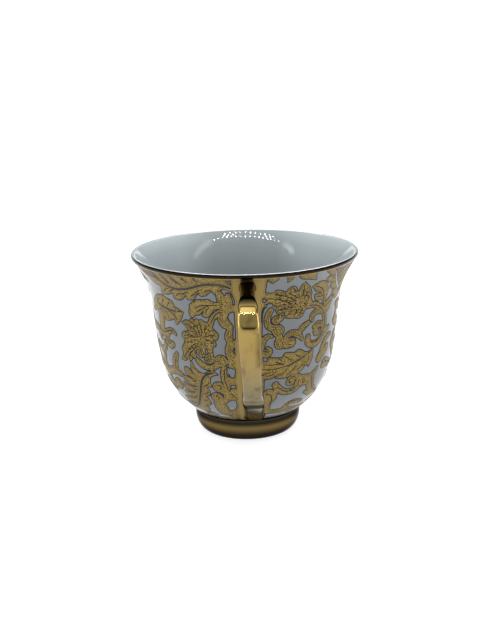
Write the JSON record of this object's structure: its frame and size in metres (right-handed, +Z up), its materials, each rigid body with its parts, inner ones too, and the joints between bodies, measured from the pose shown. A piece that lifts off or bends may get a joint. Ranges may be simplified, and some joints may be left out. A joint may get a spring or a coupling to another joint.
{
  "type": "teacup",
  "caption": "Small footed porcelain tea cup with a flared rim, an ear-shaped strap handle and gilt scrollwork over a white glaze.",
  "frame": {"origin": "on the cup's axis, at the plane that the foot rests on", "axes": "+Z up along the cup's axis, -Y out through the handle, +X to the right of someone facing the handle"},
  "size_m": [0.0702, 0.0883, 0.0576],
  "materials": {
    "porcelain": "gloss",
    "slip": "satin",
    "bright_gold": "polished",
    "printed_gold": "satin"
  },
  "bodies": {
    "root": {"bowl": "porcelain", "foot_ring": "porcelain", "foot_slip_ring": "slip", "handle": "porcelain", "upper_handle_slip": "slip", "lower_handle_slip": "slip", "rim_gilding": "bright_gold", "foot_gilding": "bright_gold", "handle_gilding": "bright_gold", "handle_back_gilding": "bright_gold", "scroll_transfer_left": "printed_gold", "scroll_transfer_right": "printed_gold"}
  },
  "joints": []
}
